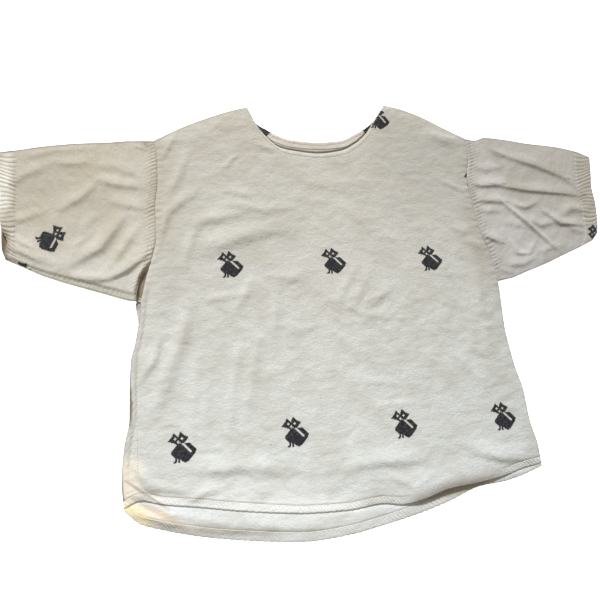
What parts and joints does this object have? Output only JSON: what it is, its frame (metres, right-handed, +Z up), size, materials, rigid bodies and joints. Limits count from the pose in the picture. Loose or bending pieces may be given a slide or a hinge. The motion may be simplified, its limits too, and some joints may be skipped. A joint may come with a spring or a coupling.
{
  "type": "shell top",
  "caption": "Boxy cream cotton shell top laid flat, front upward, with wide elbow sleeves, scooped neck and a longer curved back hem.",
  "frame": {"origin": "middle of the footprint, on the surface that the top lies on", "axes": "+X across the chest towards the sleeve at the right as seen from above, +Y from hem to neck, +Z up out of the front"},
  "size_m": [0.9614, 0.6664, 0.0104],
  "materials": {
    "front_cotton": "matte",
    "back_cotton": "matte",
    "sleeve_cotton": "matte",
    "facing_cotton": "matte"
  },
  "bodies": {
    "root": {"front": "front_cotton", "back": "back_cotton", "sleeve_left": "sleeve_cotton", "sleeve_right": "sleeve_cotton", "neck_facing": "facing_cotton"}
  },
  "joints": []
}
